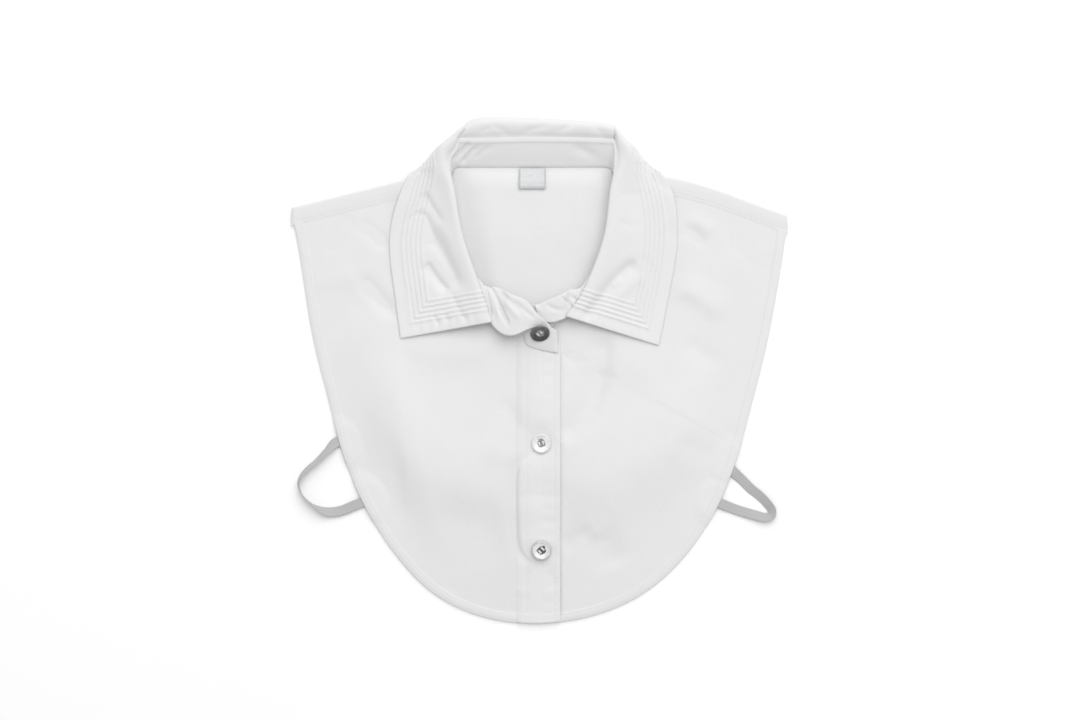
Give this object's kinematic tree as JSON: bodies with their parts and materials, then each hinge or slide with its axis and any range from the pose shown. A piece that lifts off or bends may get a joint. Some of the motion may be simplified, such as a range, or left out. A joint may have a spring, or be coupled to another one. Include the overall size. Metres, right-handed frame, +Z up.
{
  "type": "dickey",
  "caption": "Detachable shirt front: a fold-over collar on a short bib with a buttoned front and elastic side loops, lying flat",
  "frame": {"origin": "middle of the underside of the whole dickey, on the surface it lies on", "axes": "+Z up from the surface, +Y from the hem towards the back of the collar, +X towards the right of the picture"},
  "size_m": [0.3716, 0.3794, 0.0235],
  "materials": {
    "cotton": "plain woven white cotton, matt",
    "elastic": "flat ribbed white elastic",
    "label_satin": "woven satin label, bare",
    "button_resin": "pearly clear resin, glossy"
  },
  "bodies": {
    "root": {"back_panel": "cotton", "front_panel_left": "cotton", "front_panel_right": "cotton", "button_placket": "cotton", "collar_stand": "cotton", "collar_leaf": "cotton", "neck_label": "label_satin", "button_middle": "button_resin", "button_bottom": "button_resin", "button_top": "button_resin", "strap_left": "elastic", "strap_right": "elastic"}
  },
  "joints": []
}
